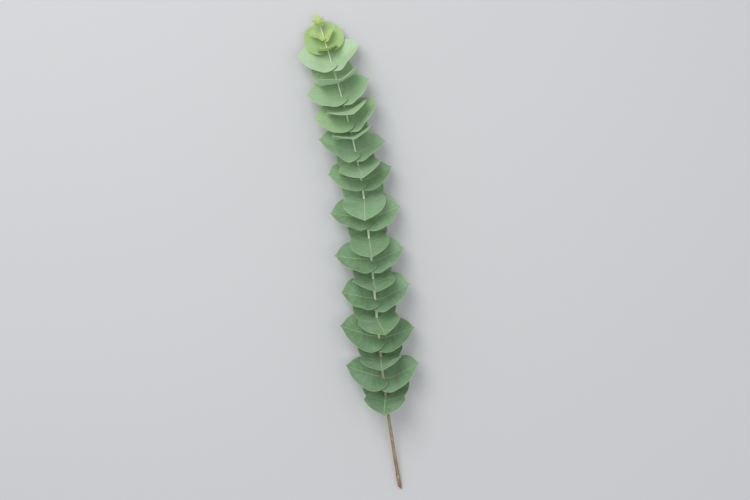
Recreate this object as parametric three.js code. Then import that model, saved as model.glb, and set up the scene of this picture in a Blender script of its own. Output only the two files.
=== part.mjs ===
// A cut branch of silver-dollar eucalyptus, lying on a flat surface.
// Millimetres. +X runs from the cut end to the growing tip and +Z is up.
// The leaves sit in opposite pairs, each pair a quarter turn from the last.
import * as THREE from 'three';

// The branch as a whole
const BRANCH_LENGTH = 640;
const STEM_HEIGHT = 23;
const LIFT_LENGTH = 220;
const TIP_DROP = 10;
const TIP_DROP_LENGTH = 210;
const TIP_SWEEP = 23;
const TIP_SWEEP_LENGTH = 260;
const SWAY = 3;
const SWAY_LENGTH = 520;

// The stem
const CUT_RADIUS = 2.4;
const TIP_RADIUS = 0.6;
const NODE_SWELLING = 0.14;
const NODE_SWELLING_LENGTH = 3;
const CUT_SLANT = 0.9;
const CUT_SLANT_FADE = 12;
const STEM_SIDES = 8;
const RINGS_PER_NODE = 3;

// The leaf pairs: where each node is, measured back from the tip
const NODES_FROM_TIP = [
  512, 486, 458, 431, 405, 379, 352, 326, 297, 268, 243,
  217, 198, 177, 154, 137, 117, 101, 79, 53, 34, 18,
];
const FACING_TILT = 48;
const FACING_TILT_VARIES = 4;
const TURN_VARIES = 9;

// One leaf
const FULL_LEAF = 45;
const YOUNGEST_LEAF_SHARE = 0.4;
const GROWING_LENGTH = 6;
const LOWER_LEAF_GAIN = 0.12;
const LAST_FRONT_LEAF_SHARE = 0.5;
const WIDTH_TO_LENGTH = 1.2;
const LEAF_THICKNESS = 0.7;
const LEAF_CENTRE = 0.38;
const STEM_GAP = 0.85;
const NOTCH_CORNER = 0.75;
const PAIR_STAGGER = 1.5;
const CUP_TILT = 14;
const CUP_ROUNDING = 6;
const FOLD_ROUNDING = 2;
const LEAF_SIDES = 22;
const LEAF_RINGS = 6;

// A leaf's own bends start beyond the lobes of its partner: shares of its length
const BENDS_START = 0.16;
const BENDS_FULL = 0.5;
const RECURVE_START = 0.45;
const FORWARD_SWEEP = 0.22;
const WAVES_ALONG_EDGE = 7;

// The bends themselves, as slopes, with how much each varies from leaf to leaf
const SIDE_RISE = 0.1;
const SIDE_RISE_VARIES = 0.17;
const BACK_RISE = -0.05;
const YOUNG_RISE = 0.6;
const FOLD = 0.1;
const FOLD_VARIES = 0.14;
const YOUNG_FOLD = 0.2;
const RISING_FOLD = 0.3;
const TWIST_VARIES = 0.24;
const SWEEP_VARIES = 0.08;
const RECURVE = 0.1;
const RECURVE_VARIES = 0.08;
const WAVE_HEIGHT = 1.1;
const WAVE_VARIES = 0.5;
const LENGTH_VARIES = 0.07;
const WIDTH_VARIES = 0.05;
const YOUNG_LENGTH = 22;

// Pressing on the surface that the branch lies on
const PRESS_ROUNDING = 1.5;

// The half outline of a leaf, from its pointed tip round to the lobe beside the stem:
// shares of the length along the midrib and of the half width across it
const HALF_OUTLINE = [
  [1.0, 0.0], [0.95, 0.1], [0.89, 0.31], [0.78, 0.62], [0.6, 0.88],
  [0.35, 1.0], [0.1, 0.94], [-0.09, 0.7], [-0.15, 0.42], [-0.08, 0.24],
];

// How far each front leaf stands up from the common facing plane, lowest pair first.
// 0 droops open towards the viewer, 0.8 stands nearly straight up.
const FRONT_RISE = [0.25, 0.4, 0.15, 0.45, 0.05, 0.0, 0.4, 0.5, 0.3, 0.48, 0.55];

const LEAF_GREEN_OLD = new THREE.Color('#67896a');
const LEAF_GREEN_MID = new THREE.Color('#8db38f');
const LEAF_GREEN_YOUNG = new THREE.Color('#9cc27a');
const STEM_COLOUR = new THREE.Color('#b9c99a');
const BUD_COLOUR = new THREE.Color('#c7dfa0');

const UP = new THREE.Vector3(0, 0, 1);

// A steady scatter between -1 and 1 for a pair and one of its features
function vary(index, feature) {
  const wave = Math.sin(index * 12.9898 + feature * 78.233) * 43758.5453;
  return 2 * (wave - Math.floor(wave)) - 1;
}

function smoothstep(from, to, value) {
  const share = Math.min(1, Math.max(0, (value - from) / (to - from)));
  return share * share * (3 - 2 * share);
}

// A bend that starts gently: zero at zero, then the given slope
function easedSlope(slope, distance, rounding) {
  return slope * (Math.hypot(distance, rounding) - rounding);
}

const tanOfDegrees = (angle) => Math.tan(THREE.MathUtils.degToRad(angle));

// The line of the stem, by distance from the cut end
function stemPoint(along) {
  const lift = 1 - Math.max(0, 1 - along / LIFT_LENGTH) ** 2;
  const drop = Math.max(0, (along - BRANCH_LENGTH) / TIP_DROP_LENGTH + 1) ** 2;
  const sweep = Math.max(0, (along - BRANCH_LENGTH) / TIP_SWEEP_LENGTH + 1) ** 2;
  const sway = SWAY * Math.sin((2 * Math.PI * along) / SWAY_LENGTH);
  const height = CUT_RADIUS + (STEM_HEIGHT - CUT_RADIUS) * lift - TIP_DROP * drop;
  return new THREE.Vector3(along, TIP_SWEEP * sweep + sway, height);
}

// Place, forward, up and left directions of the stem at a distance from the cut end
function stemFrame(along) {
  const place = stemPoint(along);
  const forward = stemPoint(along + 1).sub(stemPoint(along - 1)).normalize();
  const left = new THREE.Vector3().crossVectors(UP, forward).normalize();
  const up = new THREE.Vector3().crossVectors(forward, left);
  return { place, forward, up, left };
}

const nodePlaces = NODES_FROM_TIP.map((fromTip) => BRANCH_LENGTH - fromTip);

function stemRadius(along) {
  const taper = THREE.MathUtils.lerp(CUT_RADIUS, TIP_RADIUS, along / BRANCH_LENGTH);
  const swelling = nodePlaces.reduce(
    (sum, node) => sum + Math.exp(-(((along - node) / NODE_SWELLING_LENGTH) ** 2)), 0,
  );
  return taper * (1 + NODE_SWELLING * swelling);
}

// The stem is turned on a lathe as a straight tapered rod, then laid along its line
function makeStem() {
  const stations = [0, CUT_SLANT_FADE];
  const bare = nodePlaces[0] / RINGS_PER_NODE;
  for (let i = 1; i < RINGS_PER_NODE; i += 1) {
    stations.push(i * bare);
  }
  nodePlaces.forEach((node, i) => {
    const next = nodePlaces[i + 1] ?? BRANCH_LENGTH;
    stations.push(node, THREE.MathUtils.lerp(node, next, 0.5));
  });
  stations.push(BRANCH_LENGTH);
  stations.sort((a, b) => a - b);
  const profile = [new THREE.Vector2(0, 0)];
  stations.forEach((along) => profile.push(new THREE.Vector2(stemRadius(along), along)));
  profile.push(new THREE.Vector2(0, BRANCH_LENGTH));
  const geometry = new THREE.LatheGeometry(profile, STEM_SIDES);
  const corners = geometry.attributes.position;
  for (let i = 0; i < corners.count; i += 1) {
    const along = corners.getY(i);
    const above = corners.getX(i);
    const beside = corners.getZ(i);
    const slant = CUT_SLANT * beside * Math.max(0, 1 - along / CUT_SLANT_FADE);
    const frame = stemFrame(along);
    const corner = frame.place
      .addScaledVector(frame.up, above)
      .addScaledVector(frame.left, beside)
      .addScaledVector(frame.forward, slant);
    corners.setXYZ(i, corner.x, corner.y, corner.z);
  }
  return geometry;
}

// A leaf's surface sinks no lower than the surface it is pressed against
function pressed(height) {
  if (height >= PRESS_ROUNDING) return height;
  if (height <= -PRESS_ROUNDING) return 0;
  return (height + PRESS_ROUNDING) ** 2 / (4 * PRESS_ROUNDING);
}

// Everything that sets one leaf's shape and place
function leafPlan(pairIndex, isFirst) {
  const fromTip = NODES_FROM_TIP[pairIndex];
  const along = BRANCH_LENGTH - fromTip;
  const isSidePair = pairIndex % 2 === 1;
  const leafIndex = 2 * pairIndex + (isFirst ? 0 : 1);
  const sinceYoungest = fromTip - NODES_FROM_TIP.at(-1);
  const growth = 1 - (1 - YOUNGEST_LEAF_SHARE) * Math.exp(-sinceYoungest / GROWING_LENGTH);
  const gain = 1 + LOWER_LEAF_GAIN * smoothstep(200, 500, fromTip);
  const isLastFront = isFirst && pairIndex === NODES_FROM_TIP.length - 2;
  const share = growth * gain * (isLastFront ? LAST_FRONT_LEAF_SHARE : 1);
  const length = FULL_LEAF * share * (1 + LENGTH_VARIES * vary(leafIndex, 1));
  const quarter = isSidePair ? 0 : 90;
  const opposite = isFirst ? 0 : 180;
  const young = Math.exp(-sinceYoungest / YOUNG_LENGTH);
  const sideRise = SIDE_RISE + SIDE_RISE_VARIES * vary(leafIndex, 3);
  const crossRise = isFirst ? FRONT_RISE[pairIndex / 2] : BACK_RISE;
  const risingFold = isSidePair ? 0 : RISING_FOLD * crossRise;
  const forwardSweep = isFirst ? -FORWARD_SWEEP : FORWARD_SWEEP;
  const tilt = FACING_TILT + FACING_TILT_VARIES * vary(pairIndex, 5);
  const turn = quarter + opposite + TURN_VARIES * vary(pairIndex, 2);
  return {
    along: along + (isFirst ? PAIR_STAGGER : -PAIR_STAGGER),
    length,
    width: length * WIDTH_TO_LENGTH * (1 + WIDTH_VARIES * vary(leafIndex, 4)),
    turn: THREE.MathUtils.degToRad(turn),
    tilt: THREE.MathUtils.degToRad(tilt),
    notch: stemRadius(along) / Math.cos(THREE.MathUtils.degToRad(FACING_TILT)) + STEM_GAP,
    rise: (isSidePair ? sideRise : crossRise) + YOUNG_RISE * young,
    fold: FOLD + FOLD_VARIES * vary(leafIndex, 6) + YOUNG_FOLD * young + risingFold,
    twist: TWIST_VARIES * vary(leafIndex, 7),
    sweep: (isSidePair ? forwardSweep : 0) + SWEEP_VARIES * vary(leafIndex, 11),
    recurve: RECURVE + RECURVE_VARIES * vary(leafIndex, 8),
    wave: WAVE_HEIGHT + WAVE_VARIES * vary(leafIndex, 9),
    wavePhase: Math.PI * vary(leafIndex, 10),
  };
}

// A point of the leaf's under face, from its distance along the midrib and across it
function leafPoint(plan, along, across) {
  const { place, forward, up, left } = stemFrame(plan.along);
  const facing = new THREE.Vector3()
    .addScaledVector(forward, Math.cos(plan.tilt))
    .addScaledVector(up, Math.sin(plan.tilt));
  const back = new THREE.Vector3()
    .addScaledVector(forward, -Math.sin(plan.tilt))
    .addScaledVector(up, Math.cos(plan.tilt));
  const midrib = new THREE.Vector3()
    .addScaledVector(left, Math.cos(plan.turn))
    .addScaledVector(back, Math.sin(plan.turn));
  const side = new THREE.Vector3().crossVectors(facing, midrib);
  const out = Math.hypot(along, across);
  const reach = along / plan.length;
  const beyond = Math.max(0, reach - BENDS_START);
  const spread = (2 * across) / plan.width;
  const bends =
    easedSlope(plan.rise, Math.max(0, along), CUP_ROUNDING) +
    easedSlope(plan.fold, across, FOLD_ROUNDING) +
    plan.twist * across * reach -
    plan.recurve * plan.length * Math.max(0, reach - RECURVE_START) ** 2 +
    plan.wave * spread * Math.abs(spread) * Math.sin(WAVES_ALONG_EDGE * reach + plan.wavePhase);
  const height =
    easedSlope(tanOfDegrees(CUP_TILT), out, CUP_ROUNDING) +
    smoothstep(BENDS_START, BENDS_FULL, reach) * bends;
  const point = place
    .addScaledVector(midrib, along)
    .addScaledVector(side, across + plan.sweep * plan.length * beyond ** 1.5)
    .addScaledVector(facing, height);
  point.z = pressed(point.z);
  return point;
}

// The upward normal of the leaf's surface, from two short steps on it
function leafNormal(plan, along, across) {
  const step = 0.2;
  const here = leafPoint(plan, along, across);
  const outward = leafPoint(plan, along + step, across).sub(here);
  const sideways = leafPoint(plan, along, across + step).sub(here);
  return outward.cross(sideways).normalize();
}

// The leaf's outline at a share from 0 at the tip to 1 at the notch round the stem
function outlineOf(plan) {
  const points = HALF_OUTLINE.map(
    ([reach, spread]) => new THREE.Vector2(reach * plan.length, (spread * plan.width) / 2),
  );
  const corner = NOTCH_CORNER * plan.notch;
  points.push(new THREE.Vector2(0, plan.notch));
  points.push(new THREE.Vector2(corner, corner));
  points.push(new THREE.Vector2(plan.notch, 0));
  return new THREE.SplineCurve(points);
}

// A leaf starts as a sphere. Its equator is drawn out to the leaf's outline and its
// poles are flattened to the leaf's thickness, on the bent surface.
function makeLeaf(plan) {
  const geometry = new THREE.SphereGeometry(1, LEAF_SIDES, LEAF_RINGS);
  const corners = geometry.attributes.position;
  const outline = outlineOf(plan);
  const centre = LEAF_CENTRE * plan.length;
  for (let i = 0; i < corners.count; i += 1) {
    const round = Math.atan2(corners.getX(i), corners.getZ(i)) / Math.PI;
    const spread = Math.hypot(corners.getX(i), corners.getZ(i));
    const rim = outline.getPoint(Math.abs(round));
    const along = centre + spread * (rim.x - centre);
    const across = spread * rim.y * Math.sign(round);
    const thickness = LEAF_THICKNESS * Math.max(0, corners.getY(i));
    const corner = leafPoint(plan, along, across);
    corner.addScaledVector(leafNormal(plan, along, across), thickness);
    corners.setXYZ(i, corner.x, corner.y, corner.z);
  }
  return geometry;
}

function leafColour(fromTip) {
  const ripe = smoothstep(40, 110, fromTip);
  const old = smoothstep(90, 330, fromTip);
  return LEAF_GREEN_YOUNG.clone().lerp(LEAF_GREEN_MID, ripe).lerp(LEAF_GREEN_OLD, old);
}

// The growing tip: the last, still folded pair of leaves round the bud
const BUD_LENGTH = 11;
const BUD_RADIUS = 2.6;
const BUD_FLATNESS = 0.7;
const BUD_SIDES = 12;
const BUD_RINGS = 8;

function makeTipBud() {
  const geometry = new THREE.SphereGeometry(1, BUD_SIDES, BUD_RINGS);
  const frame = stemFrame(BRANCH_LENGTH);
  const middle = frame.place.addScaledVector(frame.forward, BUD_LENGTH / 2 + STEM_GAP);
  const corners = geometry.attributes.position;
  for (let i = 0; i < corners.count; i += 1) {
    const corner = middle.clone()
      .addScaledVector(frame.up, corners.getX(i) * BUD_RADIUS * BUD_FLATNESS)
      .addScaledVector(frame.forward, (corners.getY(i) * BUD_LENGTH) / 2)
      .addScaledVector(frame.left, corners.getZ(i) * BUD_RADIUS);
    corners.setXYZ(i, corner.x, corner.y, corner.z);
  }
  return geometry;
}

function named(name, geometry, colour, roughness) {
  const material = new THREE.MeshStandardMaterial({ color: colour, roughness, metalness: 0 });
  const mesh = new THREE.Mesh(geometry, material);
  mesh.name = name;
  return mesh;
}

const branch = new THREE.Group();
branch.add(named('stem', makeStem(), STEM_COLOUR, 0.6));
NODES_FROM_TIP.forEach((fromTip, pairIndex) => {
  const places = pairIndex % 2 === 1 ? ['left', 'right'] : ['front', 'back'];
  places.forEach((place, i) => {
    const number = String(pairIndex + 1).padStart(2, '0');
    const leaf = makeLeaf(leafPlan(pairIndex, i === 0));
    branch.add(named(`leaf_${number}_${place}`, leaf, leafColour(fromTip), 0.65));
  });
});
branch.add(named('tip_bud', makeTipBud(), BUD_COLOUR, 0.6));

// The origin is the middle of the branch's box, on the surface that it lies on
const box = new THREE.Box3().setFromObject(branch);
const middle = box.getCenter(new THREE.Vector3());
branch.position.set(-middle.x, -middle.y, -box.min.z);

const root = new THREE.Group();
root.add(branch);
export default root;
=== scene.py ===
import math

import bmesh
import bpy
import numpy as np
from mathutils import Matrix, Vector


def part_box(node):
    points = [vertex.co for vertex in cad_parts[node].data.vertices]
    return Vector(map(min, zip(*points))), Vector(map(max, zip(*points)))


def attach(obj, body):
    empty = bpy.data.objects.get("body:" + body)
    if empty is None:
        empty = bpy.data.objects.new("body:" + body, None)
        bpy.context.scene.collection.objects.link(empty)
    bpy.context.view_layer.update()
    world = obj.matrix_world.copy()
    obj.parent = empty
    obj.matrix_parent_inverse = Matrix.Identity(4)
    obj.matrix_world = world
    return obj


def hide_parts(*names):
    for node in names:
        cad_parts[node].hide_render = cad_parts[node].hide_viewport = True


# A cut branch of silver-dollar eucalyptus, lying on a pale surface. The branch's own
# measures are in millimetres, as in its drawing, and MM brings them to metres.
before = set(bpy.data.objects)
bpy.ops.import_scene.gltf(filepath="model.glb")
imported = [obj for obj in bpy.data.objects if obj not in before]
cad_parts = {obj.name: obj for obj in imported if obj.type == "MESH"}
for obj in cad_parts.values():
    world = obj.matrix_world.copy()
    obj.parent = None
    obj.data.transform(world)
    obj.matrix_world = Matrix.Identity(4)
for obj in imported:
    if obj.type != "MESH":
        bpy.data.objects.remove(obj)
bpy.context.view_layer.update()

MM = 0.001

# The branch as a whole
BRANCH_LENGTH = 640
STEM_HEIGHT = 23
LIFT_LENGTH = 220
TIP_DROP = 10
TIP_DROP_LENGTH = 210
TIP_SWEEP = 23
TIP_SWEEP_LENGTH = 260
SWAY = 3
SWAY_LENGTH = 520

# The stem
CUT_RADIUS = 2.4
TIP_RADIUS = 0.6
NODE_SWELLING = 0.14
NODE_SWELLING_LENGTH = 3
CUT_SLANT = 0.9
CUT_SLANT_FADE = 12

# The leaf pairs: where each node is, measured back from the tip
NODES_FROM_TIP = [
    512, 486, 458, 431, 405, 379, 352, 326, 297, 268, 243,
    217, 198, 177, 154, 137, 117, 101, 79, 53, 34, 18,
]
STRIPPED_NODES_FROM_TIP = [624, 598, 570, 541]
FACING_TILT = 48
FACING_TILT_VARIES = 4
TURN_VARIES = 9

# One leaf
FULL_LEAF = 45
YOUNGEST_LEAF_SHARE = 0.4
GROWING_LENGTH = 6
LOWER_LEAF_GAIN = 0.12
LAST_FRONT_LEAF_SHARE = 0.5
WIDTH_TO_LENGTH = 1.2
PAIR_STAGGER = 1.5
CUP_TILT = 14
CUP_ROUNDING = 6
FOLD_ROUNDING = 2
BENDS_START = 0.16
BENDS_FULL = 0.5
RECURVE_START = 0.45
FORWARD_SWEEP = 0.22
WAVES_ALONG_EDGE = 7
SIDE_RISE = 0.1
SIDE_RISE_VARIES = 0.17
BACK_RISE = -0.05
YOUNG_RISE = 0.6
FOLD = 0.1
FOLD_VARIES = 0.14
YOUNG_FOLD = 0.2
RISING_FOLD = 0.3
TWIST_VARIES = 0.24
SWEEP_VARIES = 0.08
RECURVE = 0.1
RECURVE_VARIES = 0.08
WAVE_HEIGHT = 1.1
WAVE_VARIES = 0.5
LENGTH_VARIES = 0.07
WIDTH_VARIES = 0.05
YOUNG_LENGTH = 22
PRESS_ROUNDING = 1.5
FRONT_RISE = [0.25, 0.4, 0.15, 0.45, 0.05, 0.0, 0.4, 0.5, 0.3, 0.48, 0.55]

# The half outline of a leaf, from the lobe beside the stem round to its pointed tip:
# shares of the length along the midrib and of the half width across it
HALF_OUTLINE = np.array([
    (-0.08, 0.24), (-0.15, 0.42), (-0.09, 0.7), (0.1, 0.94), (0.35, 1.0),
    (0.6, 0.88), (0.78, 0.62), (0.89, 0.31), (0.95, 0.1), (1.0, 0.0),
])

# The leaf blank, flat and full size, from which every leaf is bent
BLANK_LENGTH = 45.0
BLANK_HALF_WIDTH = 27.0
BLANK_NOTCH = 2.7
BLANK_THICKNESS = 0.42
RIBS = 36
COLUMNS = 11
MIDRIB_HALF_WIDTH = 0.5
MIDRIB_SHOULDER = 1.3
MARGIN_WIDTH = 0.55
SEAM_DISTANCE = 0.02

# On the short ribs at the tip, the most of a rib that each of these may take
MIDRIB_MOST = 0.18
SHOULDER_MOST = 0.36
MARGIN_MOST = 0.2

# How the ribs of the blank sweep: they gather towards the tip, the first bends round
# the stem and the others arch like side veins
RIB_GATHERING = 1.6
RIBS_ROUND_STEM = 0.08
FIRST_RIB_BOW = 3.1
FIRST_RIB_SPREAD = 0.45
RIB_ARCH = 1.8

# The veins of a leaf: a groove on top and a cord beneath
SIDE_VEINS = 9
MIDRIB_CORD = 0.42
MIDRIB_GROOVE = 0.12
MIDRIB_TAPER = 0.75
SIDE_VEIN_CORD = 0.07
SIDE_VEIN_GROOVE = 0.05
SIDE_VEIN_SHARPNESS = 6

# How a leaf sits on the stem: a little clear of it at the lobes, sunk in at the midrib
LOBE_CLEARANCE = 0.25
MIDRIB_SINKING = 0.6
MIDRIB_BEARING = 0.6
NOTCH_FADE = 0.12

# The surface of the stem
STEM_SIDES = 20
STEM_CUTS = (24, 24)
CUT_FACE_INSETS = (0.06, 0.12, 0.3, 0.3)
CUT_EDGE_EASE = 0.97
END_TOLERANCE = 1e-3
NODE_RIDGE = 0.05
NODE_RIDGE_LENGTH = 0.6
BARE_NODE_SWELLING = 0.09
SCAR_HEIGHT = 0.28
SCAR_LENGTH = 1.1
SCAR_HALF_WIDTH = 0.75
SCAR_BOW = 0.9

# The growing tip: length, turn and rise of each leaf still folded round the bud
BUD_LENGTH = 11
BUD_GAP = 0.85
FOLDED_LEAVES = [(14, 95, 1.5), (13, 275, 1.3), (10, 5, 1.9), (9.5, 185, 2.0)]
FOLDED_WIDTH_TO_LENGTH = 0.85
FOLDED_PAIR_SPACING = 1.2
FOLDED_FOLD = 0.5
FOLDED_RECURVE = 0.3
FOLDED_WAVE = 0.4
FOLDED_FROM_TIP = (8, 5)


def vary(index, feature):
    """A steady scatter between -1 and 1 for a leaf or pair and one of its features."""
    wave = math.sin(index * 12.9898 + feature * 78.233) * 43758.5453
    return 2 * (wave - math.floor(wave)) - 1


def smoothstep(start, end, value):
    share = np.clip((value - start) / (end - start), 0, 1)
    return share * share * (3 - 2 * share)


def eased_slope(slope, distance, rounding):
    return slope * (np.hypot(distance, rounding) - rounding)


def unit(vectors):
    return vectors / np.linalg.norm(vectors, axis=-1, keepdims=True)


# ---------------------------------------------------------------- the line of the stem

def stem_point(along):
    along = np.asarray(along, float)
    lift = 1 - np.maximum(0, 1 - along / LIFT_LENGTH) ** 2
    drop = np.maximum(0, (along - BRANCH_LENGTH) / TIP_DROP_LENGTH + 1) ** 2
    sweep = np.maximum(0, (along - BRANCH_LENGTH) / TIP_SWEEP_LENGTH + 1) ** 2
    sway = SWAY * np.sin(2 * math.pi * along / SWAY_LENGTH)
    height = CUT_RADIUS + (STEM_HEIGHT - CUT_RADIUS) * lift - TIP_DROP * drop
    return np.stack([along, TIP_SWEEP * sweep + sway, height], axis=-1)


def stem_frame(along):
    """Place, forward, up and left directions at a distance from the cut end."""
    along = np.asarray(along, float)
    forward = unit(stem_point(along + 1) - stem_point(along - 1))
    left = unit(np.cross(np.array([0.0, 0.0, 1.0]), forward))
    up = np.cross(forward, left)
    return stem_point(along), forward, up, left


NODE_PLACES = [BRANCH_LENGTH - d for d in NODES_FROM_TIP]
STRIPPED_PLACES = [BRANCH_LENGTH - d for d in STRIPPED_NODES_FROM_TIP]


def bumps(along, places, length):
    """A rounded rise of 1 at each of the places."""
    return sum(np.exp(-(((along - place) / length) ** 2)) for place in places)


def stem_radius(along):
    along = np.asarray(along, float)
    taper = CUT_RADIUS + (TIP_RADIUS - CUT_RADIUS) * along / BRANCH_LENGTH
    return taper * (1 + NODE_SWELLING * bumps(along, NODE_PLACES, NODE_SWELLING_LENGTH))


def frame_shift():
    """From the drawing's own origin to the frame's, both in millimetres.

    The bud is the same shape either way round, so its box shows where its middle went.
    """
    place, forward, _, _ = stem_frame(BRANCH_LENGTH)
    drawn = place + forward * (BUD_LENGTH / 2 + BUD_GAP)
    low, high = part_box("tip_bud")
    return np.array((low + high) / 2) / MM - drawn


SHIFT = frame_shift()


# ---------------------------------------------------------------- the shape of a leaf

def leaf_plan(pair_index, is_first):
    """Everything that sets one leaf's shape and place."""
    from_tip = NODES_FROM_TIP[pair_index]
    along = BRANCH_LENGTH - from_tip
    is_side_pair = pair_index % 2 == 1
    leaf_index = 2 * pair_index + (0 if is_first else 1)
    since_youngest = from_tip - NODES_FROM_TIP[-1]
    growth = 1 - (1 - YOUNGEST_LEAF_SHARE) * math.exp(-since_youngest / GROWING_LENGTH)
    gain = 1 + LOWER_LEAF_GAIN * float(smoothstep(200, 500, from_tip))
    is_last_front = is_first and pair_index == len(NODES_FROM_TIP) - 2
    share = growth * gain * (LAST_FRONT_LEAF_SHARE if is_last_front else 1)
    length = FULL_LEAF * share * (1 + LENGTH_VARIES * vary(leaf_index, 1))
    quarter = 0 if is_side_pair else 90
    opposite = 0 if is_first else 180
    young = math.exp(-since_youngest / YOUNG_LENGTH)
    side_rise = SIDE_RISE + SIDE_RISE_VARIES * vary(leaf_index, 3)
    cross_rise = FRONT_RISE[pair_index // 2] if is_first else BACK_RISE
    rising_fold = 0 if is_side_pair else RISING_FOLD * cross_rise
    forward_sweep = -FORWARD_SWEEP if is_first else FORWARD_SWEEP
    return {
        "along": along + (PAIR_STAGGER if is_first else -PAIR_STAGGER),
        "length": length,
        "width": length * WIDTH_TO_LENGTH * (1 + WIDTH_VARIES * vary(leaf_index, 4)),
        "turn": math.radians(quarter + opposite + TURN_VARIES * vary(pair_index, 2)),
        "tilt": math.radians(FACING_TILT + FACING_TILT_VARIES * vary(pair_index, 5)),
        "rise": (side_rise if is_side_pair else cross_rise) + YOUNG_RISE * young,
        "fold": FOLD + FOLD_VARIES * vary(leaf_index, 6) + YOUNG_FOLD * young
        + rising_fold,
        "twist": TWIST_VARIES * vary(leaf_index, 7),
        "sweep": (forward_sweep if is_side_pair else 0)
        + SWEEP_VARIES * vary(leaf_index, 11),
        "recurve": RECURVE + RECURVE_VARIES * vary(leaf_index, 8),
        "wave": WAVE_HEIGHT + WAVE_VARIES * vary(leaf_index, 9),
        "wave_phase": math.pi * vary(leaf_index, 10),
        "from_tip": from_tip,
        "tint": vary(leaf_index, 12),
    }


def pressed(height):
    """A leaf sinks no lower than the surface it is pressed against."""
    eased = (height + PRESS_ROUNDING) ** 2 / (4 * PRESS_ROUNDING)
    low = np.where(height <= -PRESS_ROUNDING, 0, eased)
    return np.where(height >= PRESS_ROUNDING, height, low)


def leaf_surface(plan, along, across):
    """Points of the leaf's under face, by distance along the midrib and across it."""
    place, forward, up, left = stem_frame(plan["along"])
    facing = forward * math.cos(plan["tilt"]) + up * math.sin(plan["tilt"])
    back = up * math.cos(plan["tilt"]) - forward * math.sin(plan["tilt"])
    midrib = left * math.cos(plan["turn"]) + back * math.sin(plan["turn"])
    side = np.cross(facing, midrib)
    reach = along / plan["length"]
    spread = 2 * across / plan["width"]
    beyond = np.maximum(0, reach - BENDS_START)
    wave = np.sin(WAVES_ALONG_EDGE * reach + plan["wave_phase"])
    bends = (
        eased_slope(plan["rise"], np.maximum(0, along), CUP_ROUNDING)
        + eased_slope(plan["fold"], across, FOLD_ROUNDING)
        + plan["twist"] * across * reach
        - plan["recurve"] * plan["length"] * np.maximum(0, reach - RECURVE_START) ** 2
        + plan["wave"] * spread * np.abs(spread) * wave
    )
    cup = eased_slope(
        math.tan(math.radians(CUP_TILT)), np.hypot(along, across), CUP_ROUNDING
    )
    height = cup + smoothstep(BENDS_START, BENDS_FULL, reach) * bends
    swept = across + plan["sweep"] * plan["length"] * beyond**1.5
    points = (
        place
        + along[:, None] * midrib
        + swept[:, None] * side
        + height[:, None] * facing
    )
    points[:, 2] = pressed(points[:, 2])
    return points


def leaf_points(plan, along, across, above):
    """Points held above the under face, square to the bent surface."""
    step = 0.2
    here = leaf_surface(plan, along, across)
    outward = leaf_surface(plan, along + step, across) - here
    sideways = leaf_surface(plan, along, across + step) - here
    return here + above[:, None] * unit(np.cross(outward, sideways))


def fit_to_stem(plan, along, across):
    """Draws the notch of the blank in or out until it hugs the stem."""
    out = np.hypot(along, across)
    bearing = np.arctan2(across, along)
    radius = float(stem_radius(plan["along"]))
    turned = bearing + plan["turn"]
    section = radius / np.hypot(np.cos(turned), np.sin(turned) * math.cos(plan["tilt"]))
    sinking = MIDRIB_SINKING * np.exp(-((bearing / MIDRIB_BEARING) ** 2))
    wanted = section + LOBE_CLEARANCE - sinking
    drawn = BLANK_NOTCH * plan["length"] / BLANK_LENGTH
    fade = np.exp(-np.maximum(0, out - drawn) / (NOTCH_FADE * plan["length"]))
    scale = 1 + (wanted - drawn) * fade / np.maximum(out, 0.1)
    return along * scale, across * scale


# ---------------------------------------------------------------- meshes

def coordinates(mesh):
    points = np.empty(len(mesh.vertices) * 3)
    mesh.vertices.foreach_get("co", points)
    return points.reshape(-1, 3)


def set_coordinates(mesh, points):
    mesh.vertices.foreach_set("co", np.ascontiguousarray(points, float).ravel())
    mesh.update()


def set_attribute(mesh, name, values):
    layer = mesh.attributes.new(name, "FLOAT", "POINT")
    filled = np.broadcast_to(np.asarray(values, float), len(mesh.vertices))
    layer.data.foreach_set("value", np.ascontiguousarray(filled))


def apply_modifier(piece, kind, **settings):
    modifier = piece.modifiers.new(kind.title(), kind)
    for key, value in settings.items():
        setattr(modifier, key, value)
    bpy.context.view_layer.objects.active = piece
    bpy.ops.object.modifier_apply(modifier=modifier.name)


def deselect_all():
    bpy.ops.object.select_all(action="DESELECT")


def close_seams(mesh, distance):
    """Merges doubles and drops the faces that they leave without area."""
    shape = bmesh.new()
    shape.from_mesh(mesh)
    bmesh.ops.remove_doubles(shape, verts=shape.verts, dist=distance)
    bmesh.ops.dissolve_degenerate(shape, dist=distance / 10, edges=shape.edges)
    bmesh.ops.recalc_face_normals(shape, faces=shape.faces)
    shape.to_mesh(mesh)
    shape.free()


def shade_smooth(mesh):
    mesh.polygons.foreach_set("use_smooth", [True] * len(mesh.polygons))
    mesh.update()


def curve_through(points, shares):
    """Points of a smooth curve that passes through the given points in order."""
    last = len(points) - 1
    place = np.clip(shares, 0, 1) * last
    index = np.minimum(place.astype(int), last - 1)
    part = (place - index)[:, None]
    before = points[np.maximum(index - 1, 0)]
    start, end = points[index], points[index + 1]
    after = points[np.minimum(index + 2, last)]
    leave, arrive = (end - before) / 2, (after - start) / 2
    return (
        start
        + leave * part
        + (3 * (end - start) - 2 * leave - arrive) * part**2
        + (2 * (start - end) + leave + arrive) * part**3
    )


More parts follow.
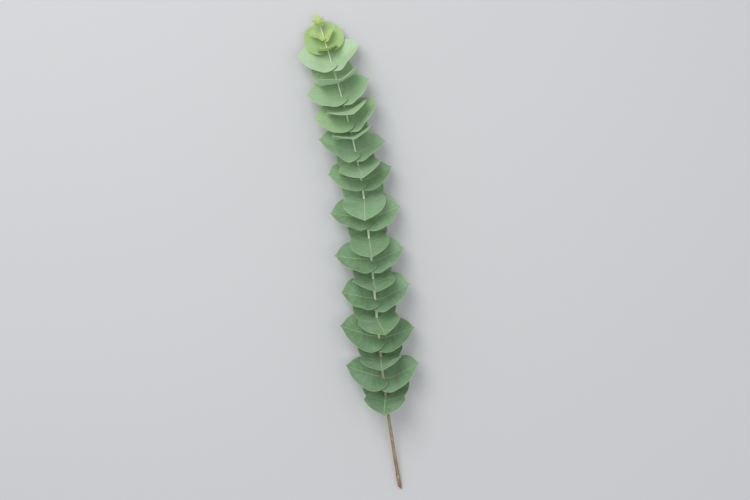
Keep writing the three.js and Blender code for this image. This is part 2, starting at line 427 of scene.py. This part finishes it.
def rib_lines():
    """The midrib end, bow point and margin end of each rib of the half leaf."""
    shares = np.linspace(0, 1, RIBS + 1)
    outline = curve_through(HALF_OUTLINE, shares)
    margin = outline * (BLANK_LENGTH, BLANK_HALF_WIDTH)
    middle = BLANK_NOTCH + (BLANK_LENGTH - BLANK_NOTCH) * shares**RIB_GATHERING
    start = np.stack([middle, np.zeros_like(middle)], axis=-1)
    near_stem = np.exp(-shares / RIBS_ROUND_STEM)
    bow = (start + margin) / 2
    bow[:, 0] += FIRST_RIB_BOW * near_stem - RIB_ARCH * np.sin(math.pi * shares)
    bow[:, 1] += FIRST_RIB_SPREAD * near_stem
    return start, bow, margin


def column_places(rib_length):
    """Where the lines beside the midrib and the margin cross a rib, as shares of it."""
    middle = min(MIDRIB_HALF_WIDTH / rib_length, MIDRIB_MOST)
    shoulder = min(MIDRIB_SHOULDER / rib_length, SHOULDER_MOST)
    edge = min(MARGIN_WIDTH / rib_length, MARGIN_MOST)
    inner = np.linspace(shoulder, 1 - edge, COLUMNS - 2)
    return np.concatenate([[0, middle], inner, [1]])


def make_leaf_blank():
    """The flat leaf: a grid drawn out to ribs, thickened and smoothed.

    Its UV map runs from base to tip along the ribs and from edge to edge across them.
    """
    deselect_all()
    bpy.ops.mesh.primitive_grid_add(
        x_subdivisions=RIBS, y_subdivisions=2 * COLUMNS, size=1, calc_uvs=True
    )
    blank = bpy.context.object
    mesh = blank.data
    points = coordinates(mesh)
    rib = np.rint((points[:, 0] + 0.5) * RIBS).astype(int)
    column = np.rint(points[:, 1] * 2 * COLUMNS).astype(int)
    start, bow, margin = rib_lines()
    lengths = np.maximum(np.linalg.norm(margin - start, axis=1), 0.05)
    places = np.array([column_places(length) for length in lengths])
    share = places[rib, np.abs(column)][:, None]
    drawn = (
        (1 - share) ** 2 * start[rib]
        + 2 * share * (1 - share) * bow[rib]
        + share**2 * margin[rib]
    )
    points[:, 0] = drawn[:, 0]
    points[:, 1] = drawn[:, 1] * np.sign(column)
    points[:, 2] = 0
    set_coordinates(mesh, points)
    close_seams(mesh, SEAM_DISTANCE)
    apply_modifier(blank, "SOLIDIFY", thickness=BLANK_THICKNESS, offset=0)
    apply_modifier(blank, "SUBSURF", levels=1, render_levels=1)
    shade_smooth(mesh)
    set_attribute(mesh, "under", (coordinates(mesh)[:, 2] < 0).astype(float))
    carve_veins(mesh)
    return blank


def uv_of_points(mesh):
    """The UV place of each vertex of the blank."""
    corners = np.empty(len(mesh.loops) * 2)
    mesh.uv_layers.active.data.foreach_get("uv", corners)
    vertex = np.empty(len(mesh.loops), int)
    mesh.loops.foreach_get("vertex_index", vertex)
    places = np.empty((len(mesh.vertices), 2))
    places[vertex] = corners.reshape(-1, 2)
    return places


def carve_veins(mesh):
    """A shallow groove on top and a raised cord beneath, along midrib and side veins."""
    points = coordinates(mesh)
    uv = uv_of_points(mesh)
    across = np.abs(points[:, 1])
    reach = np.clip(points[:, 0] / BLANK_LENGTH, 0, 1)
    off_middle = np.abs(2 * uv[:, 1] - 1)
    midrib = np.exp(-((across / MIDRIB_HALF_WIDTH) ** 2)) * (1 - MIDRIB_TAPER * reach)
    ripple = np.cos(2 * math.pi * SIDE_VEINS * uv[:, 0])
    crest = np.maximum(0, ripple) ** SIDE_VEIN_SHARPNESS
    side = crest * smoothstep(0.95, 0.6, off_middle) * (1 - midrib)
    cord = MIDRIB_CORD * midrib + SIDE_VEIN_CORD * side
    groove = MIDRIB_GROOVE * midrib + SIDE_VEIN_GROOVE * side
    points[:, 2] -= np.where(points[:, 2] < 0, cord, groove)
    set_coordinates(mesh, points)


def bend_leaf(blank, name, plan):
    """A copy of the blank, scaled, fitted to the stem and bent to its own shape."""
    mesh = blank.data.copy()
    mesh.name = name
    piece = bpy.data.objects.new(name, mesh)
    bpy.context.collection.objects.link(piece)
    points = coordinates(mesh)
    along = points[:, 0] * plan["length"] / BLANK_LENGTH
    across = points[:, 1] * plan["width"] / (2 * BLANK_HALF_WIDTH)
    along, across = fit_to_stem(plan, along, across)
    above = points[:, 2] + BLANK_THICKNESS / 2
    bent = leaf_points(plan, along, across, above) + SHIFT
    bent[:, 2] = np.maximum(bent[:, 2], 0)
    set_coordinates(mesh, bent * MM)
    set_attribute(mesh, "from_tip", plan["from_tip"] / BRANCH_LENGTH)
    set_attribute(mesh, "tint", plan["tint"])
    return piece


# ---------------------------------------------------------------- node trees

class Wire:
    """One output of a material's nodes, used in sums like a number."""

    def __init__(self, finish, socket):
        self.finish = finish
        self.socket = socket

    def _sum(self, operation, first, second):
        return self.finish.node(
            "ShaderNodeMath", {"operation": operation}, {0: first, 1: second}
        )

    def __add__(self, other):
        return self._sum("ADD", self, other)

    __radd__ = __add__

    def __mul__(self, other):
        return self._sum("MULTIPLY", self, other)

    __rmul__ = __mul__

    def __sub__(self, other):
        return self._sum("SUBTRACT", self, other)

    def __rsub__(self, other):
        return self._sum("SUBTRACT", other, self)

    def __abs__(self):
        return self.finish.node("ShaderNodeMath", {"operation": "ABSOLUTE"}, {0: self})

    def ping_pong(self, turn):
        """Up to the turn and back down to 0, over and over."""
        return self._sum("PINGPONG", self, turn)


class Finish:
    """A material under construction. node makes each of its nodes."""

    def __init__(self, name):
        self.material = bpy.data.materials.new(name)
        self.material.use_nodes = True
        self.tree = self.material.node_tree
        self.tree.nodes.clear()

    def node(self, kind, settings=None, values=None, output=0):
        made = self.tree.nodes.new(kind)
        for key, value in (settings or {}).items():
            if key == "stops":
                self._set_stops(made.color_ramp, value)
            else:
                setattr(made, key, value)
        for key, value in (values or {}).items():
            if isinstance(value, Wire):
                self.tree.links.new(value.socket, made.inputs[key])
            else:
                made.inputs[key].default_value = value
        return Wire(self, made.outputs[output]) if made.outputs else made

    @staticmethod
    def _set_stops(ramp, stops):
        """The colours of a ramp and their places along it."""
        while len(ramp.elements) < len(stops):
            ramp.elements.new(1)
        for element, (place, colour) in zip(ramp.elements, stops):
            element.position = place
            element.color = colour

    def attribute(self, name):
        return self.node("ShaderNodeAttribute", {"attribute_name": name}, output="Fac")

    def object_place(self):
        return self.node("ShaderNodeTexCoord", output="Object")

    def noise(self, place, size, detail=2, roughness=0.5):
        """A pattern between 0 and 1 with features about the given size in metres."""
        return self.node(
            "ShaderNodeTexNoise", {"noise_dimensions": "3D"},
            {"Vector": place, "Scale": 1 / size, "Detail": detail, "Roughness": roughness},
        )

    def band(self, value, start, end):
        """0 at start, 1 at end, and smooth between."""
        return self.node(
            "ShaderNodeMapRange", {"interpolation_type": "SMOOTHSTEP"},
            {"Value": value, "From Min": start, "From Max": end},
        )

    def blend(self, share, first, second):
        return self.node(
            "ShaderNodeMix", {"data_type": "RGBA"},
            {0: share, 6: first, 7: second}, output=2,
        )

    def ramp(self, value, stops):
        return self.node("ShaderNodeValToRGB", {"stops": stops}, {"Fac": value})

    def bump(self, height, distance, strength=1.0):
        return self.node(
            "ShaderNodeBump", None,
            {"Height": height, "Distance": distance, "Strength": strength},
        )

    def surface(self, values):
        shader = self.node("ShaderNodeBsdfPrincipled", None, values)
        self.node("ShaderNodeOutputMaterial", None, {"Surface": shader})
        return self.material


def linear(value):
    """A display value, 0 to 255, as the share of light that it stands for."""
    share = value / 255
    return share / 12.92 if share <= 0.04045 else ((share + 0.055) / 1.055) ** 2.4


def colour(red, green, blue):
    return (linear(red), linear(green), linear(blue), 1)


# ---------------------------------------------------------------- finishes

def leaf_finish():
    """Waxy leaf: green that deepens towards the cut end, partly with age and partly as
    painted shade of the lower leaves, bloom, pale midrib, veins and margin.
    """
    f = Finish("waxy_leaf")
    place = f.object_place()
    from_tip = f.attribute("from_tip")
    tint = f.attribute("tint")
    under = f.attribute("under")
    uv = f.node("ShaderNodeUVMap", {"uv_map": "UVMap"})
    rib = f.node("ShaderNodeSeparateXYZ", None, {0: uv}, output="X")
    across = f.node("ShaderNodeSeparateXYZ", None, {0: uv}, output="Y")
    off_middle = abs(across - 0.5) * 2

    # Darker towards the cut end: partly the leaves' own colour with age, partly painted
    # shade of the lower leaves
    green = f.ramp(from_tip, [
        (0.02, colour(206, 222, 120)),
        (0.054, colour(172, 202, 106)),
        (0.082, colour(187, 214, 172)),
        (0.16, colour(173, 204, 156)),
        (0.27, colour(150, 185, 137)),
        (0.4, colour(124, 160, 113)),
        (0.8, colour(106, 141, 96)),
    ])
    lighter = f.blend(f.band(tint, -1, 1) * 0.35, green, colour(150, 186, 146))
    patches = f.noise(place, 0.018, 3)
    cloudy = f.blend(f.band(patches, 0.35, 0.75) * 0.3, lighter, colour(168, 196, 172))
    fine = f.noise(place, 0.0016, 2)
    mottled = f.blend(f.band(fine, 0.3, 0.8) * 0.1, cloudy, colour(84, 120, 76))

    midrib = 1 - f.band(off_middle, 0.03, 0.12)
    crest = 1 - f.band((rib * SIDE_VEINS).ping_pong(0.5), 0.03, 0.11)
    side_vein = crest * (1 - f.band(off_middle, 0.55, 0.95)) * 0.22
    margin = f.band(off_middle, 0.925, 0.985)
    veined = f.blend(side_vein, mottled, colour(176, 204, 160))
    ribbed = f.blend(midrib * 0.75, veined, colour(196, 214, 166))
    edged = f.blend(margin * 0.6, ribbed, colour(198, 212, 160))
    point = f.band(rib, 0.972, 0.996)
    pointed = f.blend(point * 0.75, edged, colour(128, 96, 62))
    speck = f.band(f.noise(place, 0.004, 1), 0.73, 0.78)
    specked = f.blend(speck * 0.55 * (1 - under), pointed, colour(120, 104, 70))
    under_green = f.ramp(from_tip, [
        (0.05, colour(190, 212, 130)),
        (0.1, colour(178, 206, 166)),
        (0.4, colour(158, 186, 160)),
    ])
    pale_under = f.blend(under * 0.6, specked, under_green)

    grain = f.noise(place, 0.0009, 2)
    relief = f.bump(grain * 0.6 + patches * 0.4, 0.0004, 0.25)
    return f.surface({
        "Base Color": pale_under,
        "Roughness": 0.5 + patches * 0.2,
        "Normal": relief,
        "Sheen Weight": 0.15,
        "Sheen Roughness": 0.4,
        "Specular IOR Level": 0.4,
    })


def stem_finish():
    """Pale bloom near the tip, lightened further as a painted highlight, red-brown older
    stem below, and a fresh cut face.
    """
    f = Finish("stem_bark")
    from_cut = f.attribute("from_cut")
    core = f.attribute("core")
    scar = f.attribute("scar")
    along = from_cut * (BRANCH_LENGTH * MM)
    above = f.attribute("above")
    beside = f.attribute("beside")
    fibres = f.node(
        "ShaderNodeCombineXYZ", None, {"X": along * 0.08, "Y": above, "Z": beside}
    )
    streaks = f.noise(fibres, 0.0011, 4, 0.6)
    unrolled = f.node("ShaderNodeCombineXYZ", None, {"X": along, "Y": above, "Z": beside})
    blotches = f.noise(unrolled, 0.016, 2)
    pores = f.band(f.noise(unrolled, 0.0016, 1), 0.66, 0.74)
    # The pale stops towards the tip are the stem's bloom, lightened further as a painted
    # highlight
    bark_and_painted_highlight = f.ramp(from_cut + (blotches - 0.5) * 0.08, [
        (0.0, colour(122, 92, 66)),
        (0.12, colour(142, 110, 78)),
        (0.22, colour(166, 146, 108)),
        (0.33, colour(208, 212, 172)),
        (0.45, colour(234, 242, 212)),
        (1.0, colour(226, 240, 204)),
    ])
    streaked = f.blend(f.band(streaks, 0.35, 0.7) * 0.35, bark_and_painted_highlight, colour(222, 222, 194))
    flushed = f.blend(f.band(blotches, 0.45, 0.7) * 0.12, streaked, colour(206, 176, 140))
    pored = f.blend(pores * (1 - from_cut) * 0.55, flushed, colour(98, 70, 50))
    scarred = f.blend(scar, pored, colour(196, 172, 128))
    wood = f.ramp(core, [
        (0.0, colour(196, 176, 130)),
        (0.2, colour(226, 214, 176)),
        (0.72, colour(214, 204, 160)),
        (0.84, colour(150, 168, 96)),
        (0.97, colour(120, 92, 66)),
    ])
    cut = f.attribute("cut")
    faced = f.blend(cut, scarred, wood)
    relief = f.bump(streaks * 0.7 + pores * 0.3, 0.0004, 0.6)
    return f.surface({
        "Base Color": faced,
        "Roughness": 0.55 + streaks * 0.2,
        "Normal": relief,
        "Specular IOR Level": 0.35,
    })


def surface_finish():
    """The plain pale surface that the branch lies on."""
    f = Finish("pale_surface")
    return f.surface({"Base Color": colour(203, 203, 203), "Roughness": 0.85})


# ---------------------------------------------------------------- the pieces


def keep_piece(piece, node, finish):
    """The finished piece rides the branch, stands for its solid and takes its finish."""
    piece.data.materials.clear()
    piece.data.materials.append(finish)
    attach(piece, "root")
    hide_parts(node)


def make_leaves(blank, finish):
    """Opposite pairs, each a quarter turn from the last, beginning front and back."""
    for pair_index in range(len(NODES_FROM_TIP)):
        places = ("left", "right") if pair_index % 2 == 1 else ("front", "back")
        for place in places:
            node = f"leaf_{pair_index + 1:02d}_{place}"
            is_first = place == places[0]
            piece = bend_leaf(blank, "waxy_" + node, leaf_plan(pair_index, is_first))
            keep_piece(piece, node, finish)


def make_stem(finish):
    """A long cylinder, ringed along its side, laid along the line of the stem."""
    deselect_all()
    bpy.ops.mesh.primitive_cylinder_add(
        vertices=STEM_SIDES, radius=1, depth=1, end_fill_type="NGON"
    )
    piece = bpy.context.object
    piece.name = "bark_stem"
    mesh = piece.data
    bpy.ops.object.mode_set(mode="EDIT")
    bpy.ops.mesh.select_mode(type="FACE")
    for inset in CUT_FACE_INSETS:
        shape = bmesh.from_edit_mesh(mesh)
        for face in shape.faces:
            face.select_set(len(face.verts) == STEM_SIDES)
        bmesh.update_edit_mesh(mesh)
        bpy.ops.mesh.inset(thickness=inset)
    bpy.ops.mesh.select_mode(type="EDGE")
    for cuts in STEM_CUTS:
        shape = bmesh.from_edit_mesh(mesh)
        for face in shape.faces:
            face.select_set(False)
        for edge in shape.edges:
            edge.select_set(abs(edge.verts[0].co.z - edge.verts[1].co.z) > 1e-4)
        bmesh.update_edit_mesh(mesh)
        bpy.ops.mesh.subdivide(number_cuts=cuts, quadcorner="STRAIGHT_CUT")
    bpy.ops.object.mode_set(mode="OBJECT")
    lay_stem(mesh)
    shade_smooth(mesh)
    keep_piece(piece, "stem", finish)


def scar_height(along, bearing):
    """Raised crescents where the stripped pairs of leaves grew."""
    height = np.zeros_like(along)
    for index, node in enumerate(STRIPPED_PLACES):
        for opposite in (0, math.pi):
            turned = bearing - opposite - (0 if index % 2 else math.pi / 2)
            turned = np.arctan2(np.sin(turned), np.cos(turned))
            crescent = along - node + SCAR_BOW * turned**2
            beside = np.exp(-((turned / SCAR_HALF_WIDTH) ** 4))
            height += np.exp(-((crescent / SCAR_LENGTH) ** 2)) * beside
    return height


def lay_stem(mesh):
    """Bends the straight cylinder to the line of the stem, nodes, scars and cut end."""
    points = coordinates(mesh)
    along = (points[:, 2] + 0.5) * BRANCH_LENGTH
    core = np.hypot(points[:, 0], points[:, 1])
    bearing = np.arctan2(points[:, 1], points[:, 0])
    scars = scar_height(along, bearing)
    ridges = NODE_RIDGE * bumps(along, NODE_PLACES, NODE_RIDGE_LENGTH)
    bare = BARE_NODE_SWELLING * bumps(along, STRIPPED_PLACES, NODE_SWELLING_LENGTH)
    radius = stem_radius(along) * (1 + ridges + bare) + SCAR_HEIGHT * scars
    at_cut = along < END_TOLERANCE
    at_end = at_cut | (along > BRANCH_LENGTH - END_TOLERANCE)
    eased = np.where(at_end & (core > 0.99), CUT_EDGE_EASE, core)
    reach = eased * radius
    above = reach * np.sin(bearing)
    beside = reach * np.cos(bearing)
    slant = CUT_SLANT * beside * np.maximum(0, 1 - along / CUT_SLANT_FADE)
    place, forward, up, left = stem_frame(along)
    laid = (
        place
        + above[:, None] * up
        + beside[:, None] * left
        + slant[:, None] * forward
    )
    set_coordinates(mesh, (laid + SHIFT) * MM)
    set_attribute(mesh, "from_cut", along / BRANCH_LENGTH)
    set_attribute(mesh, "above", above * MM)
    set_attribute(mesh, "beside", beside * MM)
    set_attribute(mesh, "core", core)
    set_attribute(mesh, "scar", np.clip(scars, 0, 1))
    set_attribute(mesh, "cut", at_cut.astype(float))


def make_tip(blank, finish):
    """The youngest leaves, still folded round the bud."""
    folded = []
    for index, (length, turn, rise) in enumerate(FOLDED_LEAVES):
        pair = index // 2
        plan = leaf_plan(len(NODES_FROM_TIP) - 1, index % 2 == 0)
        plan.update({
            "along": BRANCH_LENGTH + FOLDED_PAIR_SPACING * pair,
            "length": length,
            "width": length * FOLDED_WIDTH_TO_LENGTH,
            "turn": math.radians(turn),
            "rise": rise,
            "fold": FOLDED_FOLD,
            "recurve": FOLDED_RECURVE,
            "sweep": 0,
            "wave": FOLDED_WAVE,
            "from_tip": FOLDED_FROM_TIP[pair],
        })
        folded.append(bend_leaf(blank, "folded_leaf", plan))
    deselect_all()
    for piece in folded:
        piece.select_set(True)
    bpy.context.view_layer.objects.active = folded[0]
    bpy.ops.object.join()
    tip = bpy.context.object
    tip.name = "folded_tip"
    keep_piece(tip, "tip_bud", finish)


blank = make_leaf_blank()
waxy_leaf = leaf_finish()
make_leaves(blank, waxy_leaf)
make_stem(stem_finish())
make_tip(blank, waxy_leaf)
bpy.data.objects.remove(blank)


# ---------------------------------------------------------------- the studio

FLOOR_SIZE = 40.0
CAMERA_PLACE = (0.002, -0.015, 2.0)
CAMERA_LENS = 70
CAMERA_REACH = 20
LEAN = math.radians(7.5)

# Each lamp's place in metres, its size across and its power in watts
KEY_LAMP = ((1.1, 0.6, 1.9), 1.6, 24)
FILL_LAMP = ((-0.6, -0.9, 2.2), 1.8, 8)
SKY_COLOUR = (0.93, 0.95, 1.0, 1)
SKY_STRENGTH = 0.62


def make_floor():
    deselect_all()
    bpy.ops.mesh.primitive_plane_add(size=FLOOR_SIZE)
    floor = bpy.context.object
    floor.name = "studio_floor"
    floor.data.materials.append(surface_finish())


def make_camera():
    """Straight above the branch, turned so that its tip leans to the left of upright."""
    data = bpy.data.cameras.new("camera")
    camera = bpy.data.objects.new("camera", data)
    bpy.context.collection.objects.link(camera)
    data.lens = CAMERA_LENS
    data.clip_end = CAMERA_REACH
    camera.location = CAMERA_PLACE
    camera.rotation_euler = (0, 0, -math.pi / 2 - LEAN)
    bpy.context.scene.camera = camera


def make_light(name, place, size, power):
    """A broad soft lamp that points at the middle of the branch."""
    data = bpy.data.lights.new(name, "AREA")
    data.shape = "DISK"
    data.size = size
    data.energy = power
    lamp = bpy.data.objects.new(name, data)
    bpy.context.collection.objects.link(lamp)
    lamp.location = place
    lamp.rotation_euler = lamp.location.to_track_quat("Z", "Y").to_euler()


def make_world():
    """Even, slightly cool light from all round, shown in true display colours."""
    world = bpy.data.worlds.new("studio")
    world.use_nodes = True
    background = world.node_tree.nodes["Background"]
    background.inputs["Color"].default_value = SKY_COLOUR
    background.inputs["Strength"].default_value = SKY_STRENGTH
    bpy.context.scene.world = world
    bpy.context.scene.view_settings.view_transform = "Standard"


make_floor()
make_camera()
make_light("key", *KEY_LAMP)
make_light("fill", *FILL_LAMP)
make_world()
